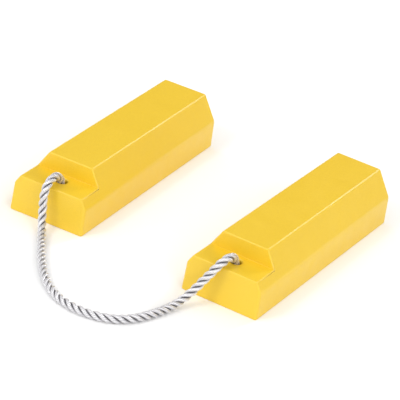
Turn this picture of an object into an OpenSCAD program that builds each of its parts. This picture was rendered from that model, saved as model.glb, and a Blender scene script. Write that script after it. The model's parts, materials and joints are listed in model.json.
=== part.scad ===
// A pair of cast urethane wheel chocks joined by one length of twisted rope.
// Millimetres, +Z up. Both chocks rest on the floor at z = 0, and the origin
// is on the floor midway between them. Chock A is at -X, chock B is at +X,
// and the rope end of both faces -Y.

/* [Chock casting] */
// Length of each chock
chock_length = 305; // [280:5:360]
// Width across the flat base
base_width = 91; // [90:1:110]
// Width at the shoulder, where a lower side meets its sloped face
shoulder_width = 89.5; // [80:0.5:91]
// Width of the flat top
top_width = 54; // [44:1:70]
// Height of the shoulder above the base
shoulder_height = 31.5; // [26:0.5:36]
// Overall height
chock_height = 62; // [58:1:76]
// Draft of the rope end face, in degrees from vertical
rope_end_draft = 1.2; // [0:0.1:3]
// Draft of the far end face, in degrees from vertical
far_end_draft = 1.7; // [0:0.1:4]

/* [Rope deck] */
// Height of the lowered deck that the rope comes out of
deck_height = 42.5; // [40:0.5:48]
// Length of the deck, from the rope end to the foot of the step
deck_length = 37.5; // [34:0.5:50]
// How far the step leans back from its foot to its top
step_lean = 0.5; // [0:0.1:4]
// Distance of the rope hole's centre from the rope end
hole_inset = 24; // [22:0.5:26]
// Diameter of the rope hole
hole_diameter = 13; // [12:0.5:15]
// Diameter of the knot recess in the underside
recess_diameter = 34; // [32:1:36]
// Depth of the knot recess
recess_depth = 30; // [29:0.5:31]

/* [Edge radii] */
// Radius of the edges along the flat top
top_edge_radius = 2; // [1:0.5:4]
// Radius of the shoulders
shoulder_radius = 9; // [4:1:12]
// Radius of the edges around the base
base_edge_radius = 2; // [1:0.5:3]
// Radius of the upright corners
corner_radius = 4; // [2:0.5:8]
// Radius of the end, deck and step edges
end_edge_radius = 1.5; // [1:0.5:3]

/* [Rope] */
// Diameter of the twisted rope
rope_diameter = 9.5; // [8:0.5:9.5]
// Diameter of the stopper knot
knot_diameter = 29; // [27:1:30]
// Outer diameter of the washer above the knot
washer_diameter = 30; // [28:1:32]
// Thickness of the washer
washer_thickness = 2; // [1:0.5:2.5]

/* [Layout of the pair] */
// Distance between the two chocks' centre lines
pair_spacing = 230; // [230:1:232]
// How far chock B stands nearer the rope end than chock A
pair_stagger = 17; // [15:1:19]
// Angle that each chock is turned outward
pair_splay = 1.25; // [0.75:0.25:1.75]

/* [Hidden] */

urethane_yellow = [0.96, 0.80, 0.25];
rope_white = [0.90, 0.89, 0.88];
zinc_grey = [0.70, 0.71, 0.73];

round_fn = 64;
corner_steps = 6;
mouth_chamfer = 1.5;
swivel_gap = 0.3;
washer_hole_gap = 0.5;
knot_foot = 2;
knot_waist = 0.55;
knot_shoulder = 0.6;
knot_radii = [0.01, 3, 4, 4, 3, 0.01];

washer_top = recess_depth - swivel_gap;
knot_top = washer_top - washer_thickness;

rope_sides = 12;
samples_per_span = 2;
end_cap_angles = [25, 50, 75];
// Distance from the mid pivot to each half rope's end centre, so that the two
// rounded ends stay apart while the rope bends through 90 degrees there.
pivot_setback = 7;

// The rope's centre line from hole A, over the end face, along the floor in a
// wide bight, and up over the end face into hole B.
route = [
    [-112.2, -120, 32],
    [-112.2, -120.5, 38.5],
    [-112.2, -123.5, 45.5],
    [-112.2, -129.5, 50.8],
    [-112.2, -137, 52.9],
    [-112.1, -144.5, 51.8],
    [-111.8, -151.2, 47.8],
    [-111.3, -155.5, 41.3],
    [-110.7, -157, 33.5],
    [-109.7, -157.5, 25.5],
    [-107.6, -160, 17.5],
    [-103.5, -165.5, 10.8],
    [-97, -175, 6.3],
    [-88.5, -188.5, 4.8],
    [-78, -205, 4.8],
    [-64, -226, 4.8],
    [-47, -248, 4.8],
    [-28, -266, 4.8],
    [-10.5, -276.5, 4.8],
    [7, -281, 4.8],
    [24, -281, 4.8],
    [40, -277, 4.8],
    [53, -269.5, 4.8],
    [63, -258.5, 4.8],
    [70.5, -244.5, 4.8],
    [76, -229, 4.8],
    [80, -213.5, 4.8],
    [83.5, -200, 6.5],
    [87.5, -189, 11.5],
    [92, -180.5, 19],
    [96.5, -174.5, 28],
    [101.5, -170.5, 37],
    [105.8, -166.8, 45.2],
    [109.3, -161.3, 50.8],
    [111.4, -154, 52.8],
    [112.2, -146.5, 50.7],
    [112.2, -140.5, 45.5],
    [112.2, -137.5, 38.5],
    [112.2, -137, 32]
];
// Which route point is the pivot where the rope's two halves meet
pivot_index = 19;

function unit(v) = v / norm(v);

// An outline with each corner rounded to its own radius by a short arc.
function rounded(points, radii) = [
    for (i = [0 : len(points) - 1])
        let (
            n = len(points),
            corner = points[i],
            back = unit(points[(i + n - 1) % n] - corner),
            ahead = unit(points[(i + 1) % n] - corner),
            half = acos(back * ahead) / 2,
            centre = corner + unit(back + ahead) * radii[i] / sin(half),
            from = corner + back * radii[i] / tan(half) - centre,
            to = corner + ahead * radii[i] / tan(half) - centre,
            sweep = 180 - 2 * half
        )
        for (k = [0 : corner_steps])
            centre + (from * sin(sweep * (1 - k / corner_steps)) + to * sin(sweep * k / corner_steps)) / sin(sweep)
];

// Cross-section of the casting: X across, Y up.
section = [
    [-base_width / 2, 0],
    [base_width / 2, 0],
    [shoulder_width / 2, shoulder_height],
    [top_width / 2, chock_height],
    [-top_width / 2, chock_height],
    [-shoulder_width / 2, shoulder_height]
];
section_radii = [
    base_edge_radius, base_edge_radius, shoulder_radius,
    top_edge_radius, top_edge_radius, shoulder_radius
];

// Side outline of the casting: X along its length from the rope end, Y up.
side_outline = [
    [0, 0],
    [chock_length, 0],
    [chock_length - chock_height * tan(far_end_draft), chock_height],
    [deck_length + step_lean, chock_height],
    [deck_length, deck_height],
    [deck_height * tan(rope_end_draft), deck_height]
];
side_radii = [
    base_edge_radius, base_edge_radius, end_edge_radius,
    end_edge_radius, end_edge_radius, end_edge_radius
];

module plan_outline() {
    inner_length = chock_length - 2 * corner_radius;
    inner_width = base_width - 2 * corner_radius;
    translate([-inner_width / 2, 0]) square([inner_width, chock_length]);
    translate([-base_width / 2, corner_radius]) square([base_width, inner_length]);
    for (x = [-inner_width / 2, inner_width / 2], y = [corner_radius, chock_length - corner_radius])
        translate([x, y]) circle(r = corner_radius, $fn = round_fn);
}

// One casting, with its rope end on the XZ plane and its length along +Y.
module casting() {
    difference() {
        intersection() {
            translate([0, chock_length, 0]) rotate([90, 0, 0])
                linear_extrude(chock_length) polygon(rounded(section, section_radii));
            rotate([90, 0, 90]) translate([0, 0, -base_width / 2])
                linear_extrude(base_width) polygon(rounded(side_outline, side_radii));
            linear_extrude(chock_height) plan_outline();
        }
        translate([0, hole_inset, -1]) cylinder(d = hole_diameter, h = deck_height + 2, $fn = round_fn);
        translate([0, hole_inset, deck_height - mouth_chamfer])
            cylinder(d1 = hole_diameter, d2 = hole_diameter + 4 * mouth_chamfer, h = 2 * mouth_chamfer, $fn = round_fn);
        translate([0, hole_inset, -1]) cylinder(d = recess_diameter, h = recess_depth + 1, $fn = round_fn);
    }
}

// Places a casting so that its centre is at (x, y), turned by angle.
module placed(x, y, angle) {
    translate([x, y, 0]) rotate([0, 0, angle]) translate([0, -chock_length / 2, 0]) children();
}

module in_chock_a() {
    placed(-pair_spacing / 2, pair_stagger / 2, pair_splay) children();
}

module in_chock_b() {
    placed(pair_spacing / 2, -pair_stagger / 2, -pair_splay) children();
}

// A point between b and c on the smooth curve through a, b, c and d.
function blended(a, b, c, d, t) =
    (2 * b + (c - a) * t + (2 * a - 5 * b + 4 * c - d) * t * t + (3 * b - a - 3 * c + d) * t * t * t) / 2;

function smooth(points) = let (last = len(points) - 1) [
    for (i = [0 : last - 1])
        let (
            a = i == 0 ? 2 * points[0] - points[1] : points[i - 1],
            d = i == last - 1 ? 2 * points[last] - points[last - 1] : points[i + 2]
        )
        for (k = [0 : samples_per_span - 1]) blended(a, points[i], points[i + 1], d, k / samples_per_span),
    points[last]
];

function tangents(points) = let (last = len(points) - 1) [
    for (i = [0 : last]) unit(points[min(i + 1, last)] - points[max(i - 1, 0)])
];

// A side direction carried along the tangents without twisting.
function carried(directions, sides) =
    len(sides) == len(directions) ? sides :
    let (
        t = directions[len(sides)],
        s = sides[len(sides) - 1]
    )
    carried(directions, concat(sides, [unit(s - (s * t) * t)]));

function ring(centre, t, s, radius) = [
    for (k = [0 : rope_sides - 1])
        let (a = 360 * k / rope_sides)
        centre + radius * (cos(a) * s + sin(a) * cross(t, s))
];

// A round tube along the points, flat at its start and rounded off at its end.
module tube(points) {
    radius = rope_diameter / 2;
    directions = tangents(points);
    sides = carried(directions, [unit(cross(directions[0], [0, 1, 0]))]);
    last = len(points) - 1;
    rings = [
        for (i = [0 : last]) ring(points[i], directions[i], sides[i], radius),
        for (a = end_cap_angles)
            ring(points[last] + radius * sin(a) * directions[last], directions[last], sides[last], radius * cos(a))
    ];
    polyhedron(
        points = [for (r = rings, p = r) p],
        faces = [
            [for (k = [0 : rope_sides - 1]) k],
            for (i = [0 : len(rings) - 2], k = [0 : rope_sides - 1])
                let (
                    a = i * rope_sides + k,
                    b = i * rope_sides + (k + 1) % rope_sides
                )
                each [[a, a + rope_sides, b], [b, a + rope_sides, b + rope_sides]],
            [for (k = [rope_sides - 1 : -1 : 0]) (len(rings) - 1) * rope_sides + k]
        ]
    );
}

pivot = route[pivot_index];
pivot_direction = unit(route[pivot_index + 1] - route[pivot_index - 1]);

// Half of the rope, from the knot to the setback before the pivot.
module half_rope(points, toward_pivot) {
    foot = [points[0][0], points[0][1], knot_top];
    line = smooth(concat([foot], points));
    tube(concat(
        [for (p = line) if (norm(p - pivot) > pivot_setback + rope_diameter / 2) p],
        [pivot - pivot_setback * toward_pivot]
    ));
}

// The stopper knot, as the round envelope that the knot fills.
module knot() {
    half_height = (knot_top - knot_foot) / 2;
    rotate_extrude($fn = round_fn)
        polygon(rounded(
            [
                [0, knot_foot],
                [knot_diameter * knot_waist / 2, knot_foot],
                [knot_diameter / 2, knot_foot + half_height * knot_shoulder],
                [knot_diameter / 2, knot_top - half_height * knot_shoulder],
                [knot_diameter * knot_waist / 2, knot_top],
                [0, knot_top]
            ],
            knot_radii
        ));
}

module washer() {
    translate([0, 0, knot_top])
        difference() {
            cylinder(d = washer_diameter, h = washer_thickness, $fn = round_fn);
            translate([0, 0, -1])
                cylinder(d = rope_diameter + 2 * washer_hole_gap, h = washer_thickness + 2, $fn = round_fn);
        }
}

module at_hole_a() {
    in_chock_a() translate([0, hole_inset, 0]) children();
}

module at_hole_b() {
    in_chock_b() translate([0, hole_inset, 0]) children();
}

module chock_a() {
    color(urethane_yellow) in_chock_a() casting();
}

module chock_b() {
    color(urethane_yellow) in_chock_b() casting();
}

module rope_a() {
    color(rope_white) half_rope([for (i = [0 : pivot_index]) route[i]], pivot_direction);
}

module rope_b() {
    color(rope_white) half_rope([for (i = [len(route) - 1 : -1 : pivot_index]) route[i]], -pivot_direction);
}

module knot_a() {
    color(rope_white) at_hole_a() knot();
}

module knot_b() {
    color(rope_white) at_hole_b() knot();
}

module washer_a() {
    color(zinc_grey) at_hole_a() washer();
}

module washer_b() {
    color(zinc_grey) at_hole_b() washer();
}

chock_a();
chock_b();
rope_a();
rope_b();
knot_a();
knot_b();
washer_a();
washer_b();
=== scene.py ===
import json
import math

import bmesh
import bpy
import numpy as np
from mathutils import Matrix, Vector


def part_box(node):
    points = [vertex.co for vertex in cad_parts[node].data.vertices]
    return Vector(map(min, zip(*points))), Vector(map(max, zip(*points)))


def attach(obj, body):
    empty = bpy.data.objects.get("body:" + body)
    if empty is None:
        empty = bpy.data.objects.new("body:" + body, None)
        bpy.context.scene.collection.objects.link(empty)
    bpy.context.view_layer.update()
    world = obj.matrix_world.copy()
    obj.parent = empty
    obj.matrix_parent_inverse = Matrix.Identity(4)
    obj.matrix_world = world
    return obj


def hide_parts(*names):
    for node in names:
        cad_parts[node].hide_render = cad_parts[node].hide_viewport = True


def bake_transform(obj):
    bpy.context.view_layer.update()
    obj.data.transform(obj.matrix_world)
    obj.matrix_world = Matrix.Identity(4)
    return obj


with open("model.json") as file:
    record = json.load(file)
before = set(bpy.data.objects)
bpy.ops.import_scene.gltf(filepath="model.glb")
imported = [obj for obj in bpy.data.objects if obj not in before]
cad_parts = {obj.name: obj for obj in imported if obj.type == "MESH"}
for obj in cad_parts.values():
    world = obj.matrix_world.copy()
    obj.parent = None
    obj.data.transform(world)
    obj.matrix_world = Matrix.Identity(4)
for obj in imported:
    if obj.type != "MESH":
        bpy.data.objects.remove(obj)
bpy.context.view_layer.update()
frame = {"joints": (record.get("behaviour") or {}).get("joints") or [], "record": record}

# A pair of cast urethane wheel chocks joined by one length of twisted rope.
# Metres, +Z up, the floor at z = 0. The rope end of each chock faces -Y.

# ---------------------------------------------------------------- dimensions

MM = 0.001

# Casting, as seen along its length: half widths and heights.
BASE_HALF = 45.5 * MM
SHOULDER_HALF = 44.75 * MM
TOP_HALF = 27 * MM
SHOULDER_HEIGHT = 31.5 * MM
DECK_HEIGHT = 42.5 * MM
DECK_LENGTH = 37.5 * MM
STEP_LEAN = 0.5 * MM
ROPE_END_DRAFT = math.radians(1.2)
FAR_END_DRAFT = math.radians(1.7)
# Radius of the upright corners of the CAD casting, seen from above.
CORNER_RADIUS = 4 * MM
BORE_RADIUS = 6.5 * MM
RECESS_RADIUS = 17 * MM
RECESS_DEPTH = 30 * MM

LAY_LENGTH = 27 * MM

# The rope's centre line from hole A, over the end face, along the floor in a
# wide bight, and up over the end face into hole B. In millimetres.
ROUTE = [
    [-112.2, -120, 32],
    [-112.2, -120.5, 38.5],
    [-112.2, -123.5, 45.5],
    [-112.2, -129.5, 50.8],
    [-112.2, -137, 52.9],
    [-112.1, -144.5, 51.8],
    [-111.8, -151.2, 47.8],
    [-111.3, -155.5, 41.3],
    [-110.7, -157, 33.5],
    [-109.7, -157.5, 25.5],
    [-107.6, -160, 17.5],
    [-103.5, -165.5, 10.8],
    [-97, -175, 6.3],
    [-88.5, -188.5, 4.8],
    [-78, -205, 4.8],
    [-64, -226, 4.8],
    [-47, -248, 4.8],
    [-28, -266, 4.8],
    [-10.5, -276.5, 4.8],
    [7, -281, 4.8],
    [24, -281, 4.8],
    [40, -277, 4.8],
    [53, -269.5, 4.8],
    [63, -258.5, 4.8],
    [70.5, -244.5, 4.8],
    [76, -229, 4.8],
    [80, -213.5, 4.8],
    [83.5, -200, 6.5],
    [87.5, -189, 11.5],
    [92, -180.5, 19],
    [96.5, -174.5, 28],
    [101.5, -170.5, 37],
    [105.8, -166.8, 45.2],
    [109.3, -161.3, 50.8],
    [111.4, -154, 52.8],
    [112.2, -146.5, 50.7],
    [112.2, -140.5, 45.5],
    [112.2, -137.5, 38.5],
    [112.2, -137, 32],
]

# The centre line of a tight overhand knot in the recess, from its short tail to
# the middle of the hole. Millimetres from the hole's axis and above the floor.
KNOT_ROUTE = [
    [-4.5, 2, 3.5],
    [-4, 1, 7.5],
    [-3.5, -1, 11],
    [-4, -3.5, 14.5],
    [-3.5, -6.5, 17.5],
    [-1, -8.5, 20.5],
    [3, -9, 22],
    [6.5, -7, 23],
    [9, -3.5, 23],
    [9, 0.5, 22],
    [7.5, 4, 21],
    [4, 6, 19.5],
    [0, 5.5, 18],
    [-4, 5, 17],
    [-8, 3.5, 15.5],
    [-10.5, 0.5, 14],
    [-11, -3, 11.5],
    [-9, -6.5, 10],
    [-5.5, -8.5, 9.5],
    [-1.5, -9, 10.5],
    [2, -7.5, 12.5],
    [3.5, -5, 15.5],
    [3, -2.5, 18.5],
    [1.5, -1, 22],
    [0, 0, 25],
]
KNOT_TURN = {"a": 20, "b": 205}
# The rope is squeezed thinner in the knot, from this far below its top.
KNOT_GIRTH = 0.86
KNOT_EASE = 6 * MM
# The tail's end is melted: how thick it is at distances from its tip.
TAIL_AT = [0, 0.5 * MM, 1.4 * MM, 3 * MM]
TAIL_GIRTH = [0.72, 0.95, 1.06, 1]

# -------------------------------------------------------------- frame places

MOUNTS = {m["name"]: Vector(m["pos_m"]) for m in frame["record"]["mounts"]}
JOINTS = {j["name"]: j for j in frame["joints"]}


def joint_place(name):
    return Vector(JOINTS[name]["pos_m"])


class Chock:
    """Where one chock stands, and its casting's sizes that the frame gives."""

    def __init__(self, side):
        self.side = side
        self.body = "chock_" + side
        centre = MOUNTS["base_" + side]
        hole = joint_place("rope_swivel_" + side)
        self.hole = Vector((hole.x, hole.y, 0))
        along = centre - self.hole
        turn = math.atan2(-along.x, along.y)
        low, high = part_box(self.body)
        self.height = high.z
        # The turned casting's box, less its rounded corners, gives its own length.
        reach_y = high.y - low.y - 2 * CORNER_RADIUS
        across = 2 * (BASE_HALF - CORNER_RADIUS) * abs(math.sin(turn))
        self.length = (reach_y - across) / math.cos(turn) + 2 * CORNER_RADIUS
        self.hole_inset = self.length / 2 - along.length
        # Puts a casting drawn with its rope end on XZ and its length along +Y in place.
        origin = centre - along.normalized() * self.length / 2
        self.place = Matrix.Translation(origin) @ Matrix.Rotation(turn, 4, "Z")


CHOCKS = [Chock("a"), Chock("b")]

# -------------------------------------------------------------------- camera

CAMERA_AT = (0.9336, -2.0779, 1.1736)
CAMERA_AZIMUTH = 24.243
CAMERA_ELEVATION = 26.907
CAMERA_ROLL = 10.486
CAMERA_LENS = 208.69
CAMERA_SENSOR = 36
CAMERA_NEAREST = 0.05
CAMERA_FARTHEST = 50


def make_camera():
    data = bpy.data.cameras.new("camera")
    data.lens = CAMERA_LENS
    data.sensor_width = CAMERA_SENSOR
    data.clip_start = CAMERA_NEAREST
    data.clip_end = CAMERA_FARTHEST
    camera = bpy.data.objects.new("camera", data)
    bpy.context.scene.collection.objects.link(camera)
    camera.matrix_world = (
        Matrix.Translation(CAMERA_AT)
        @ Matrix.Rotation(math.radians(CAMERA_AZIMUTH), 4, "Z")
        @ Matrix.Rotation(math.radians(90 - CAMERA_ELEVATION), 4, "X")
        @ Matrix.Rotation(math.radians(CAMERA_ROLL), 4, "Z")
    )
    bpy.context.scene.camera = camera


# ----------------------------------------------------------------- materials

URETHANE_DEEP = (0.85, 0.56, 0.012)
URETHANE_PALE = (0.88, 0.59, 0.018)
URETHANE_SPECK = (0.76, 0.485, 0.007)
FIBRE_DULL = (0.72, 0.71, 0.735)
FIBRE_BRIGHT = (1.0, 0.99, 1.0)
# Painted shade in the seams between a strand's yarns.
YARN_SEAM_SHADE = (0.26, 0.25, 0.275)
# Painted shade in the grooves between the strands.
STRAND_GROOVE_SHADE = (0.19, 0.18, 0.20)
ZINC_DARK = (0.50, 0.51, 0.53)
ZINC_BRIGHT = (0.66, 0.67, 0.68)
FLOOR_DARK = (0.95, 0.95, 0.95)
FLOOR_PALE = (0.97, 0.97, 0.97)

# Sockets of a Mix node that is set to colours.
MIX_FACTOR = 0
MIX_A = 6
MIX_B = 7
MIX_COLOUR = 2


class Nodes:
    """A small helper that builds one procedural material."""

    def __init__(self, name):
        self.material = bpy.data.materials.new(name)
        self.material.use_nodes = True
        self.tree = self.material.node_tree
        self.tree.nodes.clear()
        out = self.add("ShaderNodeOutputMaterial")
        self.shader = self.add("ShaderNodeBsdfPrincipled")
        self.link(self.shader.outputs["BSDF"], out.inputs["Surface"])
        self.coords = self.add("ShaderNodeTexCoord")

    def add(self, kind, **settings):
        node = self.tree.nodes.new(kind)
        for key, value in settings.items():
            setattr(node, key, value)
        return node

    def link(self, a, b):
        self.tree.links.new(a, b)

    def drive(self, socket, source):
        """Lets a source decide one socket of the shader."""
        self.link(source, self.shader.inputs[socket])

    def put(self, node, **values):
        """Sets sockets that are the same all over; an underscore stands for a space."""
        for key, value in values.items():
            node.inputs[key.replace("_", " ")].default_value = value

    def stored(self, attribute, output):
        return self.add("ShaderNodeAttribute", attribute_name=attribute).outputs[output]

    def noise(self, scale, detail=2.0, roughness=0.5, vector=None):
        node = self.add("ShaderNodeTexNoise")
        self.put(node, Scale=scale, Detail=detail, Roughness=roughness)
        self.link(vector or self.coords.outputs["Object"], node.inputs["Vector"])
        return node.outputs["Fac"]

    def ranged(self, value, between, to=(0, 1)):
        node = self.add("ShaderNodeMapRange")
        for i, bound in enumerate((*between, *to)):
            node.inputs[i + 1].default_value = bound
        self.link(value, node.inputs[0])
        return node.outputs[0]

    def mixed(self, factor, a, b):
        node = self.add("ShaderNodeMix", data_type="RGBA")
        for socket, colour in ((MIX_A, a), (MIX_B, b)):
            if isinstance(colour, tuple):
                node.inputs[socket].default_value = (*colour, 1)
            else:
                self.link(colour, node.inputs[socket])
        self.link(factor, node.inputs[MIX_FACTOR])
        return node.outputs[MIX_COLOUR]

    def bump(self, height, strength, distance, normal=None):
        node = self.add("ShaderNodeBump")
        self.put(node, Strength=strength, Distance=distance)
        self.link(height, node.inputs["Height"])
        if normal is not None:
            self.link(normal, node.inputs["Normal"])
        return node.outputs[0]

    def maths(self, operation, *values):
        node = self.add("ShaderNodeMath", operation=operation)
        for socket, value in zip(node.inputs, values):
            if isinstance(value, (int, float)):
                socket.default_value = value
            else:
                self.link(value, socket)
        return node.outputs[0]

    def yarn_ridges(self, yarn):
        """From 0 in a seam between two yarns to 1 on top of a yarn."""
        parts = self.add("ShaderNodeSeparateXYZ")
        self.link(yarn, parts.inputs[0])
        angle = self.maths("ARCTAN2", parts.outputs["Y"], parts.outputs["X"])
        wave = self.maths("SINE", self.maths("MULTIPLY", angle, YARNS / 2))
        return self.maths("ABSOLUTE", wave)


def urethane_material():
    n = Nodes("urethane_yellow")
    cloud = n.ranged(n.noise(scale=16, detail=3), between=(0.3, 0.7))
    warm = n.mixed(cloud, URETHANE_DEEP, URETHANE_PALE)
    speck = n.ranged(n.noise(scale=1700, detail=3, roughness=0.7), between=(0.4, 0.66))
    n.drive("Base Color", n.mixed(speck, warm, URETHANE_SPECK))
    wear = n.noise(scale=70, detail=4)
    n.drive("Roughness", n.ranged(wear, between=(0.3, 0.7), to=(0.36, 0.48)))
    n.put(n.shader, IOR=1.45, Specular_IOR_Level=1.0)
    grain = n.noise(scale=950, detail=3, roughness=0.6)
    flow = n.noise(scale=38, detail=2)
    grained = n.bump(grain, strength=0.4, distance=0.3 * MM)
    n.drive("Normal", n.bump(flow, strength=0.2, distance=1.2 * MM, normal=grained))
    return n.material


def rope_material():
    n = Nodes("rope_white")
    groove_shade = n.stored("groove_shade", "Fac")
    yarn = n.stored("yarn", "Vector")
    filament = n.noise(scale=20, detail=2, roughness=0.6, vector=yarn)
    fibre = n.mixed(n.ranged(filament, between=(0.36, 0.62)), FIBRE_DULL, FIBRE_BRIGHT)
    # Painted shade: the seams between a strand's yarns are darkened, and its grooves darkened
    # more still.
    seam = n.ranged(n.yarn_ridges(yarn), between=(0.1, 0.7), to=(0.85, 0))
    seam_shaded = n.mixed(seam, fibre, YARN_SEAM_SHADE)
    n.drive("Base Color", n.mixed(groove_shade, seam_shaded, STRAND_GROOVE_SHADE))
    # The highlights lie across the filaments, as on combed fibre.
    across = n.add("ShaderNodeTangent", direction_type="UV_MAP", uv_map="filament")
    n.drive("Tangent", across.outputs[0])
    n.put(n.shader, Roughness=0.32, IOR=1.52, Specular_IOR_Level=1.0, Anisotropic=0.9)
    n.put(n.shader, Metallic=0.6, Sheen_Weight=0.15, Sheen_Roughness=0.4)
    n.drive("Normal", n.bump(filament, strength=0.7, distance=0.2 * MM))
    return n.material


def zinc_material():
    n = Nodes("zinc_steel")
    n.put(n.shader, Metallic=1.0)
    spangle = n.noise(scale=260, detail=4)
    n.drive("Base Color", n.mixed(spangle, ZINC_DARK, ZINC_BRIGHT))
    wear = n.noise(scale=420, detail=3)
    n.drive("Roughness", n.ranged(wear, between=(0.3, 0.7), to=(0.25, 0.45)))
    pitting = n.noise(scale=900, detail=3)
    n.drive("Normal", n.bump(pitting, strength=0.2, distance=0.1 * MM))
    return n.material


def floor_material():
    n = Nodes("floor_white")
    n.drive("Base Color", n.mixed(n.noise(scale=3, detail=2), FLOOR_DARK, FLOOR_PALE))
    n.put(n.shader, Roughness=0.9)
    return n.material


# ----------------------------------------------------------------- meshes


def new_piece(name, verts, faces, material, smooth=True):
    mesh = bpy.data.meshes.new(name)
    mesh.from_pydata([tuple(v) for v in verts], [], faces)
    mesh.materials.append(material)
    if smooth:
        mesh.polygons.foreach_set("use_smooth", [True] * len(mesh.polygons))
    piece = bpy.data.objects.new(name, mesh)
    bpy.context.scene.collection.objects.link(piece)
    return piece


def turned(profile, sides, x, y, closed):
    """Vertices and faces of (radius, height) points turned about an upright axis."""
    rings = len(profile)
    bands = rings if closed else rings - 1
    verts, faces = [], []
    for i in range(sides):
        angle = 2 * math.pi * i / sides
        after = (i + 1) % sides
        for r, z in profile:
            verts.append((x + r * math.cos(angle), y + r * math.sin(angle), z))
        for k in range(bands):
            j = (k + 1) % rings
            faces.append((i * rings + k, after * rings + k, after * rings + j, i * rings + j))
    return verts, faces


# ----------------------------------------------------------------- rope

STRANDS = 3
# A strand's middle from the rope's middle, and its half widths outward and sideways.
STRAND_CENTRE = 2.55 * MM
STRAND_RADIAL = 2.2 * MM
STRAND_TANGENT = 2.42 * MM
# Strands are cut off this far short of the planes between them.
STRAND_GAP = 0.03 * MM
LEAST_OUTWARD = 0.02 * MM
STRAND_SIDES = 40
YARNS = 8
YARN_HEIGHT = 0.26 * MM
# Negative, because yarns are laid the other way round from the strands.
YARN_LAY = -14 * MM
RING_STEP = 0.65 * MM
# Steps between two points of a route, before the line is evened out.
CURVE_STEPS = 40
# Units of noise in a metre along the filaments, against one in a strand's radius.
FILAMENT_STRETCH = 6
# The grooves' painted shade starts this far from the rope's middle, in parts of its radius,
# and is full this much further in.
GROOVE_SHADE_TOP = 0.88
GROOVE_SHADE_FADE = 0.34

# A strand's columns of vertices, and the direction of each from its middle.
COLUMNS = np.arange(STRAND_SIDES)
LIE = np.linspace(0, 2 * np.pi, STRAND_SIDES, endpoint=False)


def unit(v):
    return v / np.linalg.norm(v, axis=-1, keepdims=True)


def distances(line):
    """How far along the line each of its points is."""
    return np.r_[0, np.cumsum(np.linalg.norm(np.diff(line, axis=0), axis=1))]


def length_of(line):
    return float(distances(line)[-1])


def even(line, step):
    """The same line with its points an even step apart."""
    along = distances(line)
    at = np.linspace(0, along[-1], max(2, round(along[-1] / step) + 1))
    return np.stack([np.interp(at, along, line[:, k]) for k in range(3)], 1)


def catmull_rom(points, step):
    """Points a short step apart on the smooth curve through the given ones."""
    p = np.vstack([2 * points[0] - points[1], points, 2 * points[-1] - points[-2]])
    t = np.linspace(0, 1, CURVE_STEPS, endpoint=False)[:, None]
    line = []
    for a, b, c, d in zip(p, p[1:], p[2:], p[3:]):
        line.append((
            2 * b
            + (c - a) * t
            + (2 * a - 5 * b + 4 * c - d) * t**2
            + (3 * b - a - 3 * c + d) * t**3
        ) / 2)
    return even(np.vstack([*line, points[-1:]]), step)


def frames(line):
    """Two directions square to the line at each point, carried along without twist."""
    tangent = unit(np.gradient(line, axis=0))
    side = np.empty_like(line)
    side[0] = unit(np.cross(tangent[0], [0.0, 1.0, 0.0]))
    for i in range(1, len(line)):
        side[i] = unit(side[i - 1] - tangent[i] * (side[i - 1] @ tangent[i]))
    return side, np.cross(tangent, side)


def strand_section(along):
    """How far outward and sideways each filament of a strand runs, ring by ring."""
    ridge = np.abs(np.sin(YARNS * LIE / 2))
    swell = 1 + YARN_HEIGHT / STRAND_RADIAL * (ridge - 1)
    around = LIE[None] + 2 * np.pi * along[:, None] / YARN_LAY
    outward = STRAND_CENTRE + STRAND_RADIAL * swell * np.cos(around)
    sideways = STRAND_TANGENT * swell * np.sin(around)
    # Neighbouring strands press flat against each other.
    limit = np.maximum(outward, LEAST_OUTWARD) * math.tan(math.pi / STRANDS) - STRAND_GAP
    return outward, np.clip(sideways, -limit, limit)


def strand_faces(rings):
    """Quads between the rings of one strand, and a cap on each end."""
    after = (COLUMNS + 1) % STRAND_SIDES
    faces = []
    for ring in range(rings - 1):
        here = ring * STRAND_SIDES
        then = here + STRAND_SIDES
        quads = [here + COLUMNS, here + after, then + after, then + COLUMNS]
        faces += np.stack(quads, 1).tolist()
    faces.append(COLUMNS[::-1].tolist())
    faces.append(((rings - 1) * STRAND_SIDES + COLUMNS).tolist())
    return faces


def strand_uvs(along):
    """UVs of one strand's faces: U runs across the filaments and V along them."""
    low = np.repeat(along[:-1, None], STRAND_SIDES, 1) / LAY_LENGTH
    high = np.repeat(along[1:, None], STRAND_SIDES, 1) / LAY_LENGTH
    left = np.repeat(COLUMNS[None], len(along) - 1, 0) / STRAND_SIDES
    right = left + 1 / STRAND_SIDES
    corners = ((left, low), (right, low), (right, high), (left, high))
    quads = np.stack([np.stack(corner, 2) for corner in corners], 2)
    cap = np.stack([np.cos(LIE), np.sin(LIE)], 1)
    return np.vstack([quads.reshape(-1, 2), cap[::-1], cap])


def yarn_places(along):
    """Where each vertex is for the yarns' shading: round the strand, and along it."""
    every = np.ones((len(along), STRAND_SIDES))
    run = FILAMENT_STRETCH * along[:, None]
    return np.stack([every * np.cos(LIE), every * np.sin(LIE), every * run], 2)


def on_every_strand(values):
    """The numbers of one strand repeated for all, as a mesh attribute takes them."""
    return np.tile(values.ravel(), STRANDS).astype(np.float32)


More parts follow.
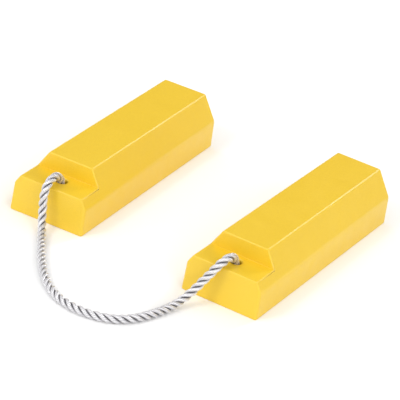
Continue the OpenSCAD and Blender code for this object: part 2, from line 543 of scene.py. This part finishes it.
def rope_piece(name, line, material, girth=1.0):
    """A rope of twisted strands along a line.

    Each column of vertices follows one filament, so that the yarns' ridges are real.
    """
    along = distances(line)
    side, other = frames(line)
    outward, sideways = strand_section(along)
    depth = np.hypot(outward, sideways) / (STRAND_CENTRE + STRAND_RADIAL)
    # Painted shade in the grooves, darkest where the strands meet.
    groove_shade = np.clip((GROOVE_SHADE_TOP - depth) / GROOVE_SHADE_FADE, 0, 1)
    thick = np.broadcast_to(girth, len(line))[:, None]
    u, v = outward * thick, sideways * thick
    one_strand = strand_faces(len(line))
    verts, faces = [], []
    for strand in range(STRANDS):
        turn = 2 * np.pi * (along / LAY_LENGTH + strand / STRANDS)
        c, s = np.cos(turn)[:, None], np.sin(turn)[:, None]
        x = u * c - v * s
        y = u * s + v * c
        place = line[:, None] + x[..., None] * side[:, None] + y[..., None] * other[:, None]
        verts.append(place.reshape(-1, 3))
        first = strand * len(line) * STRAND_SIDES
        faces += [[first + i for i in face] for face in one_strand]
    piece = new_piece(name, np.vstack(verts), faces, material)
    # The grooves' painted shade, for the rope's material.
    groove_shades = piece.data.attributes.new("groove_shade", "FLOAT", "POINT")
    groove_shades.data.foreach_set("value", on_every_strand(groove_shade))
    places = piece.data.attributes.new("yarn", "FLOAT_VECTOR", "POINT")
    places.data.foreach_set("vector", on_every_strand(yarn_places(along)))
    layer = piece.data.uv_layers.new(name="filament")
    layer.data.foreach_set("uv", on_every_strand(strand_uvs(along)))
    return piece


def rope_line():
    """The rope's centre line, begun and ended under the washers, on top of the knots."""
    _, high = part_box("knot_a")
    points = np.array(ROUTE, float) * MM
    start, end = points[0].copy(), points[-1].copy()
    start[2] = end[2] = high.z
    return catmull_rom(np.vstack([start, points, end]), RING_STEP)


def make_rope(material):
    line = rope_line()
    rope = rope_piece("rope", line, material)
    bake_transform(rope)
    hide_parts("rope_a", "rope_b")
    return rope, line


def make_knot(chock, material):
    """The overhand knot under the washer, with a short heat-sealed tail."""
    name = "knot_" + chock.side
    _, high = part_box(name)
    points = np.vstack([np.array(KNOT_ROUTE, float) * MM, [0, 0, high.z]])
    line = catmull_rom(points, RING_STEP)
    from_tail = np.linspace(0, length_of(line), len(line))
    from_top = from_tail[-1] - from_tail
    girth = np.interp(from_top, [0, KNOT_EASE], [1, KNOT_GIRTH])
    girth *= np.interp(from_tail, TAIL_AT, TAIL_GIRTH)
    piece = rope_piece("overhand_" + name, line, material, girth)
    turn = Matrix.Rotation(math.radians(KNOT_TURN[chock.side]), 4, "Z")
    piece.data.transform(Matrix.Translation(chock.hole) @ turn)
    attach(piece, "rope_" + chock.side)
    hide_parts(name)
    return piece


WASHER_SIDES = 96
WASHER_HOLE = 5.25 * MM
WASHER_EDGE = 0.35 * MM
# A rounded edge's middle point lies this far in from the corner, in parts of the edge.
WASHER_EDGE_MIDDLE = 0.3


def make_washer(chock, material):
    """A stamped flat washer between the knot and the casting, with soft edges."""
    name = "washer_" + chock.side
    low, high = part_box(name)
    outer = (high.x - low.x) / 2
    middle = WASHER_EDGE * WASHER_EDGE_MIDDLE
    # The section's corners, each with the ways in from it along the radius and up.
    corners = [
        (WASHER_HOLE, low.z, 1, 1),
        (outer, low.z, -1, 1),
        (outer, high.z, -1, -1),
        (WASHER_HOLE, high.z, 1, -1),
    ]
    section = []
    for index, (r, z, in_r, in_z) in enumerate(corners):
        rounded = [
            (r, z + WASHER_EDGE * in_z),
            (r + middle * in_r, z + middle * in_z),
            (r + WASHER_EDGE * in_r, z),
        ]
        section += rounded if index % 2 == 0 else rounded[::-1]
    verts, faces = turned(section, WASHER_SIDES, chock.hole.x, chock.hole.y, closed=True)
    piece = new_piece("flat_" + name, verts, faces, material, smooth=False)
    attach(piece, "rope_" + chock.side)
    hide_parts(name)
    return piece


# ----------------------------------------------------------------- castings

BEVEL_SEGMENTS = 6
HOLE_SIDES = 96
# The recess's inner corner, and how many flats make it up.
RECESS_CORNER = 1.5 * MM
CORNER_STEPS = 6
# How far the hole's cutter sticks out below the casting.
CUTTER_BELOW = 5 * MM

# How far the rounding of each kind of edge reaches onto its faces.
HOLE_EDGE = 2 * MM
RECESS_EDGE = 1 * MM
BASE_EDGE = 2 * MM
SHOULDER_EDGE = 2.6 * MM
TOP_EDGE = 1.8 * MM
STEP_FOOT = 0.4 * MM
LEVEL_EDGE = 1.5 * MM
LOWER_CORNER = 3.5 * MM
UPPER_CORNER = 1.6 * MM
WIDEST_EDGE = 4 * MM

# Edges longer than this run along the casting.
LONG_EDGE = 100 * MM
SAME_HEIGHT = 0.01 * MM
# Every edge of the recess and the bore is within this of their axis.
HOLE_REACH = RECESS_RADIUS + 0.1 * MM
# Faces as parallel as this to a flat of the unrounded casting are shaded flat.
FLAT_COSINE = 0.9997
# Faces that meet at less than this are one face, cut up by the boolean.
STRAIGHT = math.radians(0.5)


def casting_mesh(chock, material):
    """One casting with its rope end on XZ and its length along +Y, before rounding."""
    height, length = chock.height, chock.length
    slope = (SHOULDER_HALF - TOP_HALF) / (height - SHOULDER_HEIGHT)
    deck_half = SHOULDER_HALF - slope * (DECK_HEIGHT - SHOULDER_HEIGHT)

    def near(z):
        return z * math.tan(ROPE_END_DRAFT)

    def far(z):
        return length - z * math.tan(FAR_END_DRAFT)

    # Points of the +X half, front to back. The -X half mirrors them and comes first.
    half = [
        (BASE_HALF, 0, 0),
        (SHOULDER_HALF, near(SHOULDER_HEIGHT), SHOULDER_HEIGHT),
        (deck_half, near(DECK_HEIGHT), DECK_HEIGHT),
        (deck_half, DECK_LENGTH, DECK_HEIGHT),
        (TOP_HALF, DECK_LENGTH + STEP_LEAN, height),
        (TOP_HALF, far(height), height),
        (SHOULDER_HALF, far(SHOULDER_HEIGHT), SHOULDER_HEIGHT),
        (BASE_HALF, length, 0),
    ]
    verts = [(-x, y, z) for x, y, z in half] + half
    n = len(half)
    # Runs of points from which a face reaches across to the other half.
    across = [(0, 1, 2), (2, 3), (3, 4), (4, 5), (5, 6, 7), (7, 0)]
    flank = [(0, 1, 6, 7), (1, 2, 3, 4, 5, 6)]
    faces = [(run[0], *(n + i for i in run), *run[:0:-1]) for run in across]
    faces += flank
    faces += [tuple(n + i for i in (face[0], *face[:0:-1])) for face in flank]
    piece = new_piece("casting_" + chock.side, verts, faces, material, smooth=False)
    bm = bmesh.new()
    bm.from_mesh(piece.data)
    bmesh.ops.recalc_face_normals(bm, faces=bm.faces)
    bm.to_mesh(piece.data)
    bm.free()
    return piece


def hole_cutter(chock):
    """One turned solid: the recess from below, its soft inner corner, and the bore."""
    inner_radius = RECESS_RADIUS - RECESS_CORNER
    inner_height = RECESS_DEPTH - RECESS_CORNER
    profile = [(RECESS_RADIUS, -CUTTER_BELOW)]
    for step in range(CORNER_STEPS + 1):
        angle = math.pi / 2 * step / CORNER_STEPS
        r = inner_radius + RECESS_CORNER * math.cos(angle)
        z = inner_height + RECESS_CORNER * math.sin(angle)
        profile.append((r, z))
    profile += [(BORE_RADIUS, RECESS_DEPTH), (BORE_RADIUS, chock.height)]
    verts, faces = turned(profile, HOLE_SIDES, 0, chock.hole_inset, closed=False)
    bottom = [i * len(profile) for i in range(HOLE_SIDES)]
    faces.append(bottom[::-1])
    faces.append([i + len(profile) - 1 for i in bottom])
    mesh = bpy.data.meshes.new("cutter")
    mesh.from_pydata(verts, [], faces)
    tool = bpy.data.objects.new("cutter", mesh)
    bpy.context.scene.collection.objects.link(tool)
    return tool


def cut(piece, tool):
    modifier = piece.modifiers.new("cut", "BOOLEAN")
    modifier.operation = "DIFFERENCE"
    modifier.solver = "EXACT"
    modifier.object = tool
    apply_modifiers(piece)
    bpy.data.objects.remove(tool)


def apply_modifiers(piece):
    bpy.context.view_layer.update()
    shown = piece.evaluated_get(bpy.context.evaluated_depsgraph_get())
    mesh = bpy.data.meshes.new_from_object(shown)
    piece.modifiers.clear()
    piece.data = mesh


def level(z, height):
    return abs(z - height) < SAME_HEIGHT


def edge_radius(a, b, chock):
    """How far the rounding of the edge between two points reaches onto its faces."""
    mid = (a + b) / 2
    flat = level(a.z, b.z)
    axis = Vector((0, chock.hole_inset))
    reach = max((point.xy - axis).length for point in (a, b))
    if reach < HOLE_REACH:
        if flat and level(mid.z, DECK_HEIGHT):
            return HOLE_EDGE
        if flat and level(mid.z, 0):
            return RECESS_EDGE
        return 0
    if flat and level(mid.z, 0):
        return BASE_EDGE
    along = abs(a.y - b.y) > LONG_EDGE
    if along and abs(mid.z - SHOULDER_HEIGHT) < MM:
        return SHOULDER_EDGE
    if along and mid.z > chock.height - MM:
        return TOP_EDGE
    if flat and level(mid.z, DECK_HEIGHT) and mid.y > DECK_LENGTH - MM:
        return STEP_FOOT
    if flat:
        return LEVEL_EDGE
    if mid.z < SHOULDER_HEIGHT:
        return LOWER_CORNER
    return UPPER_CORNER


def round_edges(piece, chock, planes):
    """Rounds every edge by its own radius and keeps the flat faces flat."""
    weights = piece.data.attributes.new("bevel_weight_edge", "FLOAT", "EDGE")
    bm = bmesh.new()
    bm.from_mesh(piece.data)
    for edge in bm.edges:
        if edge.calc_face_angle(0) > STRAIGHT:
            a, b = (vert.co for vert in edge.verts)
            weights.data[edge.index].value = edge_radius(a, b, chock) / WIDEST_EDGE
    bm.free()
    modifier = piece.modifiers.new("round", "BEVEL")
    modifier.limit_method = "WEIGHT"
    modifier.width = WIDEST_EDGE
    modifier.segments = BEVEL_SEGMENTS
    modifier.use_clamp_overlap = False
    apply_modifiers(piece)
    for face in piece.data.polygons:
        face.use_smooth = max(face.normal @ plane for plane in planes) < FLAT_COSINE


def make_casting(chock, material):
    piece = casting_mesh(chock, material)
    planes = [face.normal.copy() for face in piece.data.polygons]
    cut(piece, hole_cutter(chock))
    round_edges(piece, chock, planes)
    piece.data.transform(chock.place)
    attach(piece, chock.body)
    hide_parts(chock.body)


# ----------------------------------------------------------------- stage

# The world's strength towards the front, the middle and low down behind.
WORLD_FRONT = 0.94
WORLD_MIDDLE = 1.05
WORLD_BACK = 0.25
# The way to the dark part, and the cosines to it where it begins and where it is full.
DARK_WAY = (0.1, 0.9, 0.28)
DARK_BEGINS = 0.45
DARK_FULL = 0.8

FLOOR_SIZE = 30

# Name, place, aim, size and energy.
LIGHTS = [
    ("key", (-1.2, -2.4, 2.4), (0, -0.1, 0), 0.75, 25),
    ("fill", (3.8, -2.8, 3.0), (0, -0.1, 0), 2.4, 54),
    ("rim", (0.7, 2.7, 1.8), (0, -0.05, 0), 0.7, 29),
]


def area_light(name, at, aim, size, energy):
    light = bpy.data.lights.new(name, "AREA")
    light.size = size
    light.energy = energy
    lamp = bpy.data.objects.new(name, light)
    bpy.context.scene.collection.objects.link(lamp)
    lamp.location = at
    lamp.rotation_euler = (Vector(aim) - Vector(at)).to_track_quat("-Z", "Y").to_euler()


def make_world():
    """Pale all round, a little stronger towards the back, but dark low down behind."""
    world = bpy.data.worlds.new("studio")
    bpy.context.scene.world = world
    world.use_nodes = True
    tree = world.node_tree
    background = tree.nodes["Background"]
    background.inputs["Color"].default_value = (1, 1, 1, 1)
    coords = tree.nodes.new("ShaderNodeTexCoord")
    dot = tree.nodes.new("ShaderNodeVectorMath")
    dot.operation = "DOT_PRODUCT"
    dot.inputs[1].default_value = Vector(DARK_WAY).normalized()
    tree.links.new(coords.outputs["Generated"], dot.inputs[0])
    total = tree.nodes.new("ShaderNodeMath")
    ramps = [
        (-1, DARK_BEGINS, WORLD_FRONT, WORLD_MIDDLE),
        (DARK_BEGINS, DARK_FULL, 0, WORLD_BACK - WORLD_MIDDLE),
    ]
    for socket, ramp in zip(total.inputs, ramps):
        step = tree.nodes.new("ShaderNodeMapRange")
        for i, bound in enumerate(ramp):
            step.inputs[i + 1].default_value = bound
        tree.links.new(dot.outputs["Value"], step.inputs[0])
        tree.links.new(step.outputs[0], socket)
    tree.links.new(total.outputs[0], background.inputs["Strength"])


def make_stage():
    bpy.ops.mesh.primitive_plane_add(size=FLOOR_SIZE)
    floor = bpy.context.object
    floor.name = "floor"
    floor.data.materials.append(floor_material())
    make_world()
    for light in LIGHTS:
        area_light(*light)


# ----------------------------------------------------------------- the scene

make_camera()
urethane, rope_white, zinc = urethane_material(), rope_material(), zinc_material()
rope, rope_path = make_rope(rope_white)
on_cord = []
for chock in CHOCKS:
    make_casting(chock, urethane)
    on_cord += [make_knot(chock, rope_white), make_washer(chock, zinc)]
make_stage()
bpy.context.scene.view_settings.view_transform = "Standard"
